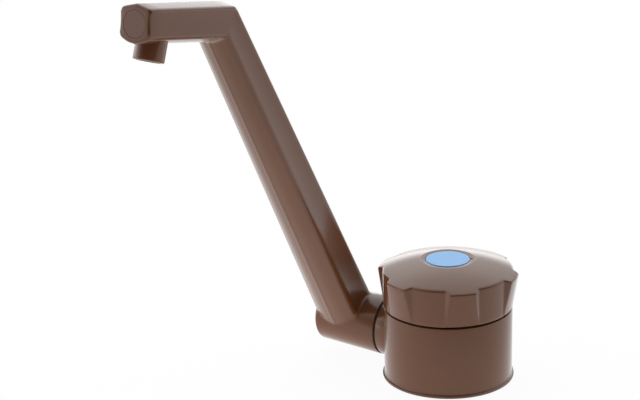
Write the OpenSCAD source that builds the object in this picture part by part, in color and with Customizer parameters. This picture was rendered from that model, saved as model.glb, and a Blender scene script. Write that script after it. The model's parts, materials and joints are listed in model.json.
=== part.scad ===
// Worktop water tap with a folding spout.
// A six-lobed knob turns over a round base and lifts a valve plunger, and a cam under
// the knob presses a pump switch. The hollow arm folds on a water swivel at the side.
// Millimetres, +Z up, -Y to the front, origin on the base axis at the worktop plane.

/* [Base] */
// Radius of the round housing wall
base_r = 27.3; // [27.2:0.1:27.5]
// Radius of the thin lip at the foot
foot_r = 28; // [27.7:0.1:29]
// Height of the housing rim above the worktop
rim_z = 31.1; // [30.9:0.1:31.3]
// Thickness of the housing wall
base_wall = 2.5; // [2.3:0.1:2.6]
// Radius of the boss that carries the spout
boss_r = 12.9; // [12.6:0.1:13.1]
// Height of the spout's swivel axis above the worktop
swivel_z = 16; // [15.9:0.1:16.3]

/* [Knob] */
// Radius of the knob between its lobes, at the top
knob_r = 27.6; // [27.4:0.1:27.8]
// Radius over the lobes, at the top
lobe_r = 29.9; // [29.2:0.1:30.4]
// Number of grip lobes
lobe_count = 6; // [5:1:8]
// Direction of the first lobe, in degrees
lobe_turn = -47.1; // [-60:0.1:0]
// Height of the dome's centre above the worktop
dome_z = 53; // [52.8:0.1:53.5]
// Radius of the sphere that the dome is cut from
dome_sphere_r = 74.3; // [73:0.1:78]
// Radius of the blue disc
cap_r = 9.34; // [9:0.01:9.4]
// Lift of the valve plunger over half a turn
valve_lift = 3; // [2:0.1:3.2]

/* [Under the worktop] */
// Outer radius of the threaded shank
shank_r = 16; // [15.5:0.1:16.2]
// Length of the shank under the worktop plane
shank_len = 40; // [38:0.5:44]
// Thickness of the worktop that is clamped
worktop = 20; // [16:0.5:22]
// Radius of the barb crests, for a hose with a 10 mm bore
barb_r = 5.2; // [5.1:0.05:5.4]
// Number of barbs on the hose tail
barb_count = 5; // [4:1:6]

/* [Spout] */
// Distance of the arm's middle plane from the face of the boss
arm_out = 21; // [20.9:0.1:21.2]
// Length of the arm from the swivel axis to the elbow
arm_len = 174.1; // [150:0.1:190]
// Angle of the arm above the worktop
arm_tilt = 60; // [55:0.1:65]
// Width of the arm at its foot
foot_w = 21.04; // [20:0.01:21.1]
// Width of the arm at the elbow
elbow_w = 15.3; // [15:0.1:16]
// Length of the outlet bar from the elbow to its end face
bar_len = 47.85; // [47:0.05:50]
// Rise of the outlet bar, in degrees
bar_tilt = 9.8; // [8:0.1:12]
// Width of the outlet bar at its end face
bar_w = 14.3; // [13.5:0.05:14.6]
// Outer radius of the outlet nozzle
nozzle_r = 5.9; // [5.8:0.05:6]
// Backward lean of the nozzle from upright, in degrees
nozzle_lean = 20.5; // [18:0.5:22]

/* [Swivel] */
// Radius of the barrel next to the boss
barrel_r = 12.91; // [12.6:0.01:13.1]
// Radius of the barrel at its free end
barrel_end_r = 11.84; // [11.8:0.01:12.2]
// Radius of the barrel's bore
swivel_bore_r = 8; // [7.9:0.05:8.05]

/* [Clearances] */
// Radial clearance of each turning shaft in its bore
shaft_gap = 0.05; // [0.03:0.01:0.06]
// Clearance between a rubber ring and the surface it slides on
seal_gap = 0.01; // [0.01:0.005:0.02]
// Gap between the cam and the switch lever
cam_gap = 0.03; // [0.02:0.01:0.05]

/* [Hidden] */
$fn = 96;

// Amount by which a cut runs past the face it opens through
past = 1;
plastic = "#6b4c3d";
rubber = "#26231f";
brass = "#b59a57";
steel = "#b9bcc0";
acetal = "#e9e6dc";

// Housing
housing_z = 0.3;
foot_lip = 1;
wall_draft = 0.1;
deck_z = 25.6;
deck_top = 27.8;
deck_hole_r = 8.2;
cable_hole_r = 2.2;
cable_hole = [15, -13];
rim_wall = 1.2;
shell_r = base_r - base_wall;
rim_bore_r = base_r - rim_wall;
boss_out = 1.7;
boss_x = base_r + boss_out;
boss_bore_r = 8.3;
post_at = 20;
post_r = 3;
post_angles = [45, 135, 225, 315];
base_screw_r = 1.25;
base_screw_head_r = 2.6;
base_screw_top = 13;

// Shank and what clamps it
gasket_t = 2;
gasket_room = 1.2;
gasket_bore_r = shank_r + gasket_room;
plate_top = 4.5;
plate_gap = 0.2;
plate_r = shell_r - plate_gap;
shank_wall = 3;
shank_bore_r = shank_r - shank_wall;
washer_r = 21.5;
washer_t = 1.5;
washer_gap = 0.2;
nut_flats = 40;
nut_h = 10;
nut_top = -worktop - washer_t;
thread_pitch = 2;
thread_depth = 0.9;
thread_mouth = 0.8;
thread_floor = 0.2;
thread_runout = 1.5;
lead_z = nut_top - nut_h - thread_runout;
grommet_t = 4;
cable_gland_r = 3;
cable_gland_at = 8.6;

// Valve body
body_r = 10.5;
body_z = 2;
chamber_r = 7.5;
chamber_z = 5.5;
seat_z = 8;
seat_r = 4.7;
inlet_r = 3.5;
stem_r = 7;
stem_end = -24;
socket_r = 5.5;
socket_top = -11;
branch_r = 8;
branch_room = 2.8;
branch_x = shell_r - branch_room;
branch_socket_depth = 9;
branch_socket_x = branch_x - branch_socket_depth;
branch_socket_r = 6;
water_r = 4;

// O-ring sections
small_ring = 0.5;
ring = 0.55;
big_ring = 0.7;
// Depth and half width of a ring's groove, in section radii of the ring
groove_depth = 2;
groove_half = 1.2;

// Hose tail
tail_top = -12;
tail_collar = 3;
neck_r = 4.6;
neck_out = 1;
barb_pitch = 4;
barb_land = 0.8;
barb_depth = 0.6;
barb_root_r = barb_r - barb_depth;
tail_z = -shank_len - neck_out;
tail_seal_z = -14.5;

// Valve plunger and its washer
plunger_flange_r = 5.5;
plunger_z = 10;
plunger_flange_top = 13;
plunger_top = 19.5;
plunger_bore_z = 11.8;
washer_disc_r = 5;
washer_screw_r = 1.2;
washer_screw_head_r = 2.4;
washer_screw_head_h = 1;
washer_screw_short = 0.2;

// Bonnet: its guide ends just above the plunger's flange when the valve is open
bonnet_flats = 15;
bonnet_top = 30.3;
bonnet_thread_z = 20.5;
guide_room = 0.4;
bonnet_guide_z = plunger_flange_top + valve_lift + guide_room;
bonnet_guide_r = 6.5;
bonnet_seal_z = 22.2;
guide_flats = 9.1;
guide_top = 24.5;

// Spindle: collar and drive screw clear the plunger when the valve is open
spindle_r = 3.5;
spindle_shoulder = 30.6;
square = 4.9;
square_top = 46;
collar_r = 4.5;
collar_room = 0.5;
collar_z = plunger_top + valve_lift + collar_room;
collar_gap = 0.1;
drive_r = 2.9;
drive_room = 0.2;
drive_end = plunger_bore_z + valve_lift + drive_room;
spindle_ring_z = [26.2, 28.6];

// Knob
knob_z = 31.9;
knob_skirt_r = 27.3;
knob_edge = [26.7, 47.0];
lobe_edge = [29.3, 46.3];
lobe_root = 14.75;
lobe_tip = 10.6;
knob_cavity_r = 24.2;
spigot_gap = 0.5;
knob_spigot_r = rim_bore_r - spigot_gap;
knob_spigot_z = 29.5;
dome_wall = 3;
dome_steps = 10;
hub_r = 6.5;
hub_z = 33.4;
web_z = 46.5;
head_recess_z = 48;
head_recess_r = 4;
recess_z = 50.6;
recess_r = 9.5;
flat_r = 11.5;
roof_step = 1;
roof_r = flat_r - roof_step;
flat_z = 52;
cap_top = 52.2;
cap_edge = 0.3;
clip_t = 0.5;
clip_depth = 1.4;
clip_root = 0.2;
notch_turn = 32;
notch_w = 0.9;
notch_r = 10.6;
notch_d = 0.8;
knob_screw_r = 1.5;
knob_screw_head_r = 3.3;
knob_screw_head_h = 2.1;
knob_screw_end = 36;

// Pump switch: lever pivot, blade and case, seen from above
pivot = [12.7, 5.6];
lever_rest = 6;
blade_t = 0.5;
blade_len = 12;
blade_z = [29.1, 32.5];
eye_r = 0.8;
trunnion_r = 0.5;
ear_r = 1.15;
ear_gap = 0.05;
eye_gap = 0.2;
trunnion_short = 0.1;
case_x = [13.2, 19.7];
case_y = [-5.2, 7.6];
case_z = [27.8, 33.6];
button_y = 1.4;
button_z = 30.8;
button_r = 0.9;
button_len = 1.7;
button_depth = 2.6;
button_back = case_x[0] + button_depth;
terminal_y = [-3, 1.2, 5.4];
terminal_x = [18.9, 22.4];
terminal_w = 2.8;
terminal_t = 0.5;
switch_screw_at = [[17.7, -3.2], [17.7, 5.6]];
switch_screw_r = 1;
switch_screw_head = [1.8, 1.2];
cam_z = 30.6;
open_turn = 180;
cam_step = 5;
slope_step = 1;

// Swivel journal
journal_r = swivel_bore_r - shaft_gap;
arm_x = boss_x + arm_out;
counterbore_out = 7;
counterbore_x = arm_x + counterbore_out;
journal_proud = 0.2;
journal_x = counterbore_x + journal_proud;
journal_web = 4;
journal_water_x = journal_x - journal_web;
journal_seal_in = 2;
journal_seal_x = branch_socket_x + journal_seal_in;
port_groove_r = 6.8;
port_groove_w = 5.2;
port_r = 2.2;
port_count = 4;
// Places of the two swivel O-rings, on either side of the arm
inner_ring_back = 9;
outer_ring_back = 2;
swivel_ring_at = [arm_x - inner_ring_back, journal_x - outer_ring_back];
ring_t = 1;
ring_out = boss_x + ring_t;
swivel_ring_r = 12.4;
counterbore_r = 9.6;
retaining_r = 9.3;
retaining_t = 0.8;
retaining_screw_r = 2;
retaining_head = [3.6, 1.4];
retaining_screw_len = 12;
swivel_cap_t = 1.3;
swivel_cap_inset = 0.12;

// Spout
barrel_play = 0.05;
barrel_end = 11.4;
barrel_x = [ring_out + barrel_play, arm_x + barrel_end];
barrel_round = 1.8;
foot_flat = 13.92;
elbow_flat = 10.61;
bar_flat = 10.34;
front_ridge = 0.197;
back_ridge = 0.118;
// Rounding of the section's corners, from the inner ridge round to the other side
corner_round = [1.8, 2.5, 1.8, 1.8, 1.8, 2.5];
end_round = 1;
end_ease = 0.3 * end_round;
corner_steps = 3;
slab = 0.01;
bar_bore_r = 3.4;
plug_r = 5.21;
plug_t = 3;
plug_drop = 0.6;
plug_inset = 0.25;
rim_back = 8.99;
rim_s = bar_len - rim_back;
rim_drop = 14.4;
nozzle_shoulder = 8.5;
nozzle_seal_t = 1;
nozzle_spigot_r = 4.6;
nozzle_top = 11.5;
nozzle_mouth_r = 4.4;
nozzle_step = 7;
nozzle_round = 0.5;
nozzle_room = 0.5;
straightener_t = 1.8;
straightener_hole_r = 0.85;
straightener_pitch = 2.7;

// Plain building blocks
module bar_z(r, z0, z1) translate([0, 0, z0]) cylinder(h = z1 - z0, r = r);
module ring_z(r_out, r_in, z0, z1) difference() {
    bar_z(r_out, z0, z1);
    bar_z(r_in, z0 - past, z1 + past);
}
module hex_z(flats, z0, z1) translate([0, 0, z0])
    cylinder(h = z1 - z0, r = flats / 2 / cos(30), $fn = 6);
module cone_z(r0, r1, z0, z1) translate([0, 0, z0]) cylinder(h = z1 - z0, r1 = r0, r2 = r1);
module o_ring(centre_r, section_r) rotate_extrude()
    translate([centre_r, 0]) circle(r = section_r, $fn = 48);

// Turns a piece built along +Z so that it lies along -X on the swivel axis
module on_swivel() translate([0, 0, swivel_z]) rotate([0, -90, 0]) children();

// Base housing with its deck, screw posts and swivel boss
module housing_wall() rotate_extrude() polygon([
    [0, housing_z], [foot_r, housing_z], [foot_r, housing_z + foot_lip],
    [base_r - wall_draft, housing_z + foot_lip], [base_r, rim_z], [0, rim_z]]);
module housing_posts() for (a = post_angles) rotate(a) translate([post_at, 0])
    bar_z(post_r, plate_top, deck_z + past);
module housing() color(plastic) difference() {
    union() {
        difference() {
            union() {
                housing_wall();
                on_swivel() bar_z(boss_r, shell_r - past, boss_x);
            }
            bar_z(shell_r, -past, deck_z);
            bar_z(rim_bore_r, deck_top, rim_z + past);
        }
        housing_posts();
    }
    bar_z(deck_hole_r, deck_z - past, deck_top + past);
    translate(cable_hole) bar_z(cable_hole_r, deck_z - past, deck_top + past);
    on_swivel() bar_z(boss_bore_r, shell_r - 2 * past, boss_x + past);
    for (a = post_angles) rotate(a) translate([post_at, 0])
        bar_z(base_screw_r, plate_top - past, base_screw_top);
    for (p = switch_screw_at) translate(p)
        bar_z(switch_screw_r, deck_z - past, deck_top + past);
}
module foot_gasket() color(rubber) ring_z(plate_r, gasket_bore_r, 0, gasket_t);

// Shank, its plate and the four screws that hold the plate to the housing
module mounting_shank() color(plastic) difference() {
    union() {
        bar_z(plate_r, gasket_t, plate_top);
        rotate_extrude() polygon(concat(
            [[0, plate_top], [shank_r, plate_top]],
            [for (z = [-thread_pitch:-thread_pitch:lead_z + thread_pitch / 2]) each thread_groove(z)],
            [[shank_r, -shank_len], [0, -shank_len]]));
    }
    bar_z(shank_bore_r, -shank_len - past, plate_top + past);
    for (a = post_angles) rotate(a) translate([post_at, 0]) base_screw(past);
}
// The thread is drawn as closed rings: points of one groove, from the top down
function thread_groove(z) = [[shank_r, z + thread_mouth],
    [shank_r - thread_depth, z + thread_floor],
    [shank_r - thread_depth, z - thread_floor], [shank_r, z - thread_mouth]];
module base_screw(cut = 0) {
    cone_z(base_screw_head_r, base_screw_r, gasket_t,
        gasket_t + base_screw_head_r - base_screw_r);
    bar_z(base_screw_r, gasket_t, cut > 0 ? plate_top + cut : base_screw_top);
    if (cut > 0) bar_z(base_screw_head_r, gasket_t - cut, gasket_t);
}
module base_screws() color(steel)
    for (a = post_angles) rotate(a) translate([post_at, 0]) base_screw();
module clamp_washer() color(steel)
    ring_z(washer_r, shank_r + washer_gap, -worktop - washer_t, -worktop);
module back_nut() color(plastic) difference() {
    hex_z(nut_flats, nut_top - nut_h, nut_top);
    bar_z(shank_r, nut_top - nut_h - past, nut_top + past);
}
module shank_grommet() color(rubber) difference() {
    bar_z(shank_bore_r, -shank_len, -shank_len + grommet_t);
    bar_z(neck_r, -shank_len - past, -shank_len + grommet_t + past);
    translate([0, cable_gland_at])
        bar_z(cable_gland_r, -shank_len - past, -shank_len + grommet_t + past);
}

// Hose tail: a spigot with its seal, a collar, a plain neck and the barbs
module hose_tail() color(brass) difference() {
    rotate_extrude() polygon(concat(
        [[0, tail_top], [socket_r, tail_top]],
        ring_groove(tail_seal_z, socket_r, ring),
        [[socket_r, stem_end], [stem_r, stem_end], [stem_r, stem_end - tail_collar],
            [neck_r, stem_end - tail_collar], [neck_r, tail_z]],
        [for (k = [0:barb_count - 1]) each barb(tail_z - k * barb_pitch)],
        [[0, tail_z - barb_count * barb_pitch]]));
    bar_z(inlet_r, tail_z - barb_count * barb_pitch - past, tail_top + past);
}
function barb(z) = [[barb_r, z], [barb_r, z - barb_land], [barb_root_r, z - barb_pitch]];
// Points of a rectangular O-ring groove in a shaft of radius r, from the top down
function ring_groove(z, r, s) = let(floor_r = r - groove_depth * s, half = groove_half * s)
    [[r, z + half], [floor_r, z + half], [floor_r, z - half], [r, z - half]];
module tail_seal() color(rubber) translate([0, 0, tail_seal_z]) o_ring(socket_r - ring, ring);

// Valve body: chamber with its seat, inlet stem and side branch to the swivel
module valve_body() color(brass) difference() {
    union() {
        difference() {
            union() {
                bar_z(body_r, body_z, deck_z);
                bar_z(stem_r, stem_end, body_z + past);
                on_swivel() bar_z(branch_r, 0, branch_x);
            }
            bar_z(chamber_r, chamber_z, deck_z + past);
            on_swivel() bar_z(water_r, 0, branch_x);
            on_swivel() bar_z(branch_socket_r, branch_socket_x, branch_x + past);
        }
        bar_z(seat_r, chamber_z - past, seat_z);
    }
    bar_z(inlet_r, socket_top - past, seat_z + past);
    bar_z(socket_r, stem_end - past, socket_top);
}

// Bonnet: closes the chamber, carries the spindle and keeps the plunger from turning
module bonnet() color(brass) difference() {
    union() {
        rotate_extrude() polygon(concat(
            [[0, deck_top + past], [chamber_r, deck_top + past]],
            ring_groove(bonnet_seal_z, chamber_r, ring),
            [[chamber_r, bonnet_thread_z], [bonnet_guide_r, bonnet_thread_z],
                [bonnet_guide_r, bonnet_guide_z], [0, bonnet_guide_z]]));
        hex_z(bonnet_flats, deck_top, bonnet_top);
    }
    bar_z(spindle_r + shaft_gap, guide_top - past, bonnet_top + past);
    hex_z(guide_flats, bonnet_guide_z - past, guide_top);
}
module bonnet_seal() color(rubber)
    translate([0, 0, bonnet_seal_z]) o_ring(chamber_r - ring, ring);

// Spindle: square for the knob, sealed journal, thrust collar and drive screw
module spindle() color(brass) union() {
    rotate_extrude() polygon(concat(
        [[0, spindle_shoulder], [spindle_r, spindle_shoulder]],
        ring_groove(spindle_ring_z[1], spindle_r, small_ring),
        ring_groove(spindle_ring_z[0], spindle_r, small_ring),
        [[spindle_r, guide_top - collar_gap], [collar_r, guide_top - collar_gap],
            [collar_r, collar_z], [drive_r, collar_z], [drive_r, drive_end], [0, drive_end]]));
    difference() {
        translate([-square / 2, -square / 2, spindle_shoulder - past])
            cube([square, square, square_top - spindle_shoulder + past]);
        bar_z(knob_screw_r, knob_screw_end, square_top + past);
    }
}
module spindle_o_rings() color(rubber) for (z = spindle_ring_z)
    translate([0, 0, z]) o_ring(spindle_r - small_ring + shaft_gap - seal_gap, small_ring);

// Plunger, shown closed: the washer rests on the seat
module valve_plunger() color(brass) difference() {
    union() {
        bar_z(plunger_flange_r, plunger_z, plunger_flange_top);
        hex_z(guide_flats - 2 * shaft_gap, plunger_z, plunger_top);
    }
    bar_z(drive_r + 2 * shaft_gap, plunger_bore_z, plunger_top + past);
    bar_z(washer_screw_r, plunger_z - past, plunger_bore_z + past);
}
module valve_washer() color(rubber) ring_z(washer_disc_r, washer_screw_r, seat_z, plunger_z);
module washer_screw() color(brass) union() {
    bar_z(washer_screw_head_r, seat_z - washer_screw_head_h, seat_z);
    bar_z(washer_screw_r, seat_z - washer_screw_head_h, plunger_bore_z - washer_screw_short);
}

// Knob: a lobed shell with a domed top, a spigot inside the rim and a square hub
function dome(r) = dome_z - r * r / (2 * dome_sphere_r);
function dome_points(r0, r1, drop) =
    [for (k = [0:dome_steps]) let(r = r0 + (r1 - r0) * k / dome_steps) [r, dome(r) - drop]];
module knob_top(edge, rim) rotate_extrude() polygon(concat(
    [[0, knob_z], [knob_skirt_r, knob_z]], [[rim, edge[1]]],
    dome_points(edge[0], flat_r, 0), [[0, dome_z]]));
module lobe_prism() linear_extrude(height = dome_z) for (k = [0:lobe_count - 1])
    rotate(lobe_turn + k * 360 / lobe_count) lobe_outline();
// Straight flanks that lean in from the lobe's root to its tip
module lobe_outline() {
    root = knob_r * [cos(lobe_root), sin(lobe_root)];
    tip = lobe_r * [cos(lobe_tip), sin(lobe_tip)];
    inner = root - (tip - root);
    outer = tip + (tip - root);
    polygon([inner, outer, [outer[0], -outer[1]], [inner[0], -inner[1]]]);
}
module knob_cavity() rotate_extrude() polygon(concat(
    [[0, knob_spigot_z - past], [knob_cavity_r, knob_spigot_z - past]],
    dome_points(knob_cavity_r, flat_r, dome_wall),
    [[roof_r, head_recess_z], [0, head_recess_z]]));
module knob() color(plastic) difference() {
    union() {
        difference() {
            union() {
                knob_top(knob_edge, knob_r);
                intersection() {
                    knob_top(lobe_edge, lobe_r);
                    lobe_prism();
                }
                bar_z(knob_spigot_r, knob_spigot_z, knob_z + past);
            }
            knob_cavity();
        }
        bar_z(hub_r, hub_z, head_recess_z + past);
    }
    translate([0, 0, flat_z]) bar_z(flat_r, 0, past);
    bar_z(recess_r, recess_z, dome_z);
    bar_z(head_recess_r, head_recess_z, recess_z + past);
    bar_z(knob_screw_r, web_z - past, head_recess_z + past);
    translate([-square / 2 - shaft_gap, -square / 2 - shaft_gap, hub_z - past])
        cube([square + 2 * shaft_gap, square + 2 * shaft_gap, web_z - hub_z + past]);
    rotate(notch_turn) translate([recess_r - past, -notch_w / 2, flat_z - notch_d])
        cube([notch_r - recess_r + past, notch_w, notch_d + past]);
}
module knob_screw() color(steel) union() {
    bar_z(knob_screw_head_r, head_recess_z, head_recess_z + knob_screw_head_h);
    bar_z(knob_screw_r, knob_screw_end, head_recess_z + past);
}
// Blue disc with a clip ring that goes down around the screw head
module knob_cap() color("#a2c3e8") union() {
    rotate_extrude() polygon([[0, recess_z], [cap_r, recess_z], [cap_r, cap_top - cap_edge],
        [cap_r - cap_edge, cap_top], [0, cap_top]]);
    ring_z(head_recess_r, head_recess_r - clip_t, recess_z - clip_depth, recess_z + clip_root);
}

// Switch cam: its reach toward the lever grows so that the lever's tilt follows the
// knob's turn at a steady rate. reach(t) is the distance to the lever's face at tilt t.
rise_span = open_turn - lever_rest;
function reach(t) = pivot[0] * cos(t - lever_rest) + pivot[1] * sin(t - lever_rest)
    - blade_t / 2 - cam_gap;
function rise(s) = reach(lever_rest * s / rise_span);
// Support distance of the cam at angle s behind its starting face, blended back to the
// start over the rest of the turn
function back(s) = s < rise_span ? 0 : (1 - cos(180 * (s - rise_span) / (360 - rise_span))) / 2;
function cam_h(s) = (1 - back(s)) * rise(s) + back(s) * rise(s - 360);
function cam_slope(s) =
    (cam_h(s - slope_step / 2) - cam_h(s + slope_step / 2)) / slope_step * 180 / PI;
function cam_point(s) = let(a = -lever_rest - s)
    cam_h(s) * [cos(a), sin(a)] + cam_slope(s) * [-sin(a), cos(a)];
module switch_cam() color(acetal) difference() {
    translate([0, 0, cam_z]) linear_extrude(height = hub_z - cam_z)
        polygon([for (s = [360 - cam_step:-cam_step:0]) cam_point(s)]);
    translate([-square / 2 - shaft_gap, -square / 2 - shaft_gap, cam_z - past])
        cube([square + 2 * shaft_gap, square + 2 * shaft_gap, hub_z - cam_z + 2 * past]);
}

// Pump switch: case with ears for the lever, terminals, screws, lever and button
module switch_case() color("#2b2b2e") difference() {
    union() {
        translate([case_x[0], case_y[0], case_z[0]])
            cube([case_x[1] - case_x[0], case_y[1] - case_y[0], case_z[1] - case_z[0]]);
        switch_ear(case_z[0], blade_z[0] - ear_gap);
        switch_ear(blade_z[1] + ear_gap, case_z[1]);
    }
    translate(pivot) bar_z(trunnion_r + shaft_gap, case_z[0] - past, case_z[1] + past);
    translate([pivot[0], pivot[1], blade_z[0] - ear_gap])
        cylinder(h = blade_z[1] - blade_z[0] + 2 * ear_gap, r = eye_r + eye_gap);
    translate([0, button_y, button_z]) rotate([0, 90, 0])
        bar_z(button_r + shaft_gap, case_x[0] - past, button_back);
    for (y = terminal_y) terminal(y);
    for (p = switch_screw_at) translate(p)
        bar_z(switch_screw_r, case_z[0] - past, case_z[1] + past);
}
module switch_ear(z0, z1) {
    translate(pivot) bar_z(ear_r, z0, z1);
    translate([pivot[0], pivot[1] - ear_r, z0]) cube([ear_r, 2 * ear_r, z1 - z0]);
}
module terminal(y) translate([terminal_x[0], y - terminal_t / 2, button_z - terminal_w / 2])
    cube([terminal_x[1] - terminal_x[0], terminal_t, terminal_w]);
module switch_terminals() color(steel) for (y = terminal_y) terminal(y);
module switch_screws() color(steel) for (p = switch_screw_at) translate(p) union() {
    bar_z(switch_screw_head[0], case_z[1], case_z[1] + switch_screw_head[1]);
    bar_z(switch_screw_r, deck_z, case_z[1] + switch_screw_head[1]);
}
module switch_lever() color(steel) translate(pivot) rotate(-lever_rest) union() {
    bar_z(eye_r, blade_z[0], blade_z[1]);
    bar_z(trunnion_r, case_z[0] + trunnion_short, case_z[1] - trunnion_short);
    translate([-blade_t / 2, -blade_len, blade_z[0]])
        cube([blade_t, blade_len, blade_z[1] - blade_z[0]]);
}
// Centre of the button's round tip, touching the blade at rest
button_tip_x = pivot[0] + (pivot[1] - button_y) * tan(-lever_rest)
    + (blade_t / 2 + button_r + seal_gap) / cos(lever_rest);
module switch_button() color("#a23a2e") translate([button_tip_x, button_y, button_z]) union() {
    sphere(r = button_r);
    rotate([0, 90, 0]) cylinder(h = button_len, r = button_r);
}

// Hollow journal that screws into the valve branch and carries the spout
module journal_groove(x, r, s)
    ring_z(r + past, r - groove_depth * s, x - groove_half * s, x + groove_half * s);
module swivel_journal() color(brass) on_swivel() difference() {
    union() {
        bar_z(branch_socket_r, branch_socket_x, branch_x + past);
        bar_z(journal_r, branch_x, journal_x);
    }
    bar_z(water_r, branch_socket_x - past, journal_water_x);
    bar_z(retaining_screw_r, journal_water_x - past, journal_x + past);
    journal_groove(journal_seal_x, branch_socket_r, ring);
    for (x = swivel_ring_at) journal_groove(x, journal_r, big_ring);
    ring_z(journal_r + past, port_groove_r, arm_x - port_groove_w / 2,
        arm_x + port_groove_w / 2);
    for (k = [0:port_count - 1]) translate([0, 0, arm_x])
        rotate([90, 0, (180 + k * 360) / port_count]) cylinder(h = journal_r + past, r = port_r);
}
module journal_seal() color(rubber) on_swivel()
    translate([0, 0, journal_seal_x]) o_ring(branch_socket_r - ring, ring);
module swivel_o_rings() color(rubber) on_swivel() for (x = swivel_ring_at)
    translate([0, 0, x]) o_ring(swivel_bore_r - seal_gap - big_ring, big_ring);
module swivel_ring() color(rubber) on_swivel()
    ring_z(swivel_ring_r, journal_r, boss_x, ring_out);
module retaining_washer() color(steel) on_swivel()
    ring_z(retaining_r, retaining_screw_r, journal_x, journal_x + retaining_t);
module retaining_screw() color(steel) on_swivel() union() {
    bar_z(retaining_head[0], journal_x + retaining_t, journal_x + retaining_t + retaining_head[1]);
    bar_z(retaining_screw_r, journal_x + retaining_t - retaining_screw_len,
        journal_x + retaining_t + retaining_head[1]);
}

// Frames of the spout: local +Z runs along the arm or the bar, local -Y is its inner side
arm_lean = 90 - arm_tilt;
bar_lean = 90 - bar_tilt;
mitre_lean = (arm_lean + bar_lean) / 2;
elbow = [-arm_x, -arm_len * cos(arm_tilt), swivel_z + arm_len * sin(arm_tilt)];
module at_foot() translate([-arm_x, 0, swivel_z]) rotate([arm_lean, 0, 0]) children();
module at_elbow(lean) translate(elbow) rotate([lean, 0, 0]) children();

// Six-sided section with rounded corners. The inner ridge points to -Y.
function unit(v) = v / norm(v);
function corner(a, b, c, r) = let(u = unit(a - b), w = unit(c - b), half = acos(u * w) / 2,
    centre = b + unit(u + w) * r / sin(half), start = b + u * r / tan(half) - centre,
    turn = atan2(start[1], start[0])) [for (k = [0:corner_steps])
    let(a = turn + k * (180 - 2 * half) / corner_steps) centre + r * [cos(a), sin(a)]];
function section(w, flat) = [[0, -flat / 2 - front_ridge * w], [w / 2, -flat / 2],
    [w / 2, flat / 2], [0, flat / 2 + back_ridge * w], [-w / 2, flat / 2], [-w / 2, -flat / 2]];
function rounded(p) = [for (k = [0:5]) each
    corner(p[(k + 5) % 6], p[k], p[(k + 1) % 6], corner_round[k])];
module section_slab(w, flat, stretch = 1, inset = 0)
    linear_extrude(height = slab) scale([1 - 2 * inset / w, stretch * (1 - 2 * inset / w)])
        polygon(rounded(section(w, flat)));
module mitre_slab() at_elbow(mitre_lean)
    section_slab(elbow_w, elbow_flat, 1 / cos((bar_lean - arm_lean) / 2));
module barrel() on_swivel() rotate_extrude() polygon(concat(
    [[0, barrel_x[0]], [barrel_r, barrel_x[0]]],
    [for (a = [0:15:90]) [barrel_end_r - barrel_round + barrel_round * cos(a),
        barrel_x[1] - barrel_round + barrel_round * sin(a)]], [[0, barrel_x[1]]]));
module arm() hull() {
    at_foot() section_slab(foot_w, foot_flat);
    mitre_slab();
}
module outlet_bar() hull() {
    mitre_slab();
    at_elbow(bar_lean) translate([0, 0, bar_len - end_round])
        section_slab(bar_w, bar_flat);
    at_elbow(bar_lean) translate([0, 0, bar_len - end_ease])
        section_slab(bar_w, bar_flat, 1, end_ease);
    at_elbow(bar_lean) translate([0, 0, bar_len - slab])
        section_slab(bar_w, bar_flat, 1, end_round);
}
// Local frame of the nozzle: origin at the middle of its mouth, +Z up into the bar
module at_nozzle() at_elbow(bar_lean) translate([0, -rim_drop, rim_s])
    rotate([-bar_lean - nozzle_lean, 0, 0]) children();
module spout() color(plastic) difference() {
    union() {
        barrel();
        arm();
        outlet_bar();
    }
    on_swivel() bar_z(swivel_bore_r, barrel_x[0] - past, counterbore_x + past);
    on_swivel() bar_z(counterbore_r, counterbore_x, barrel_x[1] + past);
    at_foot() bar_z(water_r, 0, arm_len);
    translate(elbow) sphere(r = water_r);
    at_elbow(bar_lean) translate([0, -plug_drop, 0]) {
        bar_z(bar_bore_r, 0, bar_len - plug_t);
        bar_z(plug_r, bar_len - plug_t - plug_inset, bar_len + past);
    }
    at_nozzle() {
        bar_z(nozzle_r, 0, nozzle_shoulder + nozzle_seal_t);
        bar_z(nozzle_spigot_r, nozzle_shoulder, nozzle_top + nozzle_room);
    }
}
module swivel_cap() color(plastic) on_swivel()
    bar_z(counterbore_r, barrel_x[1] - swivel_cap_inset - swivel_cap_t,
        barrel_x[1] - swivel_cap_inset);
module end_plug() color(plastic) at_elbow(bar_lean) translate([0, -plug_drop, 0])
    bar_z(plug_r, bar_len - plug_t - plug_inset, bar_len - plug_inset);
module outlet_nozzle() color(plastic) at_nozzle() difference() {
    rotate_extrude() polygon([[0, 0], [nozzle_r - nozzle_round, 0], [nozzle_r, nozzle_round],
        [nozzle_r, nozzle_shoulder], [nozzle_spigot_r, nozzle_shoulder],
        [nozzle_spigot_r, nozzle_top], [0, nozzle_top]]);
    bar_z(nozzle_mouth_r, -past, nozzle_step);
    bar_z(bar_bore_r, nozzle_step - past, nozzle_top + past);
}
module nozzle_seal() color(rubber) at_nozzle()
    ring_z(nozzle_r, nozzle_spigot_r, nozzle_shoulder, nozzle_shoulder + nozzle_seal_t);
module flow_straightener() color(acetal) at_nozzle() difference() {
    bar_z(nozzle_mouth_r, nozzle_step - straightener_t, nozzle_step);
    bar_z(straightener_hole_r, 0, nozzle_step + past);
    for (k = [0:5]) rotate(k * 60) translate([straightener_pitch, 0])
        bar_z(straightener_hole_r, 0, nozzle_step + past);
}

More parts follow.
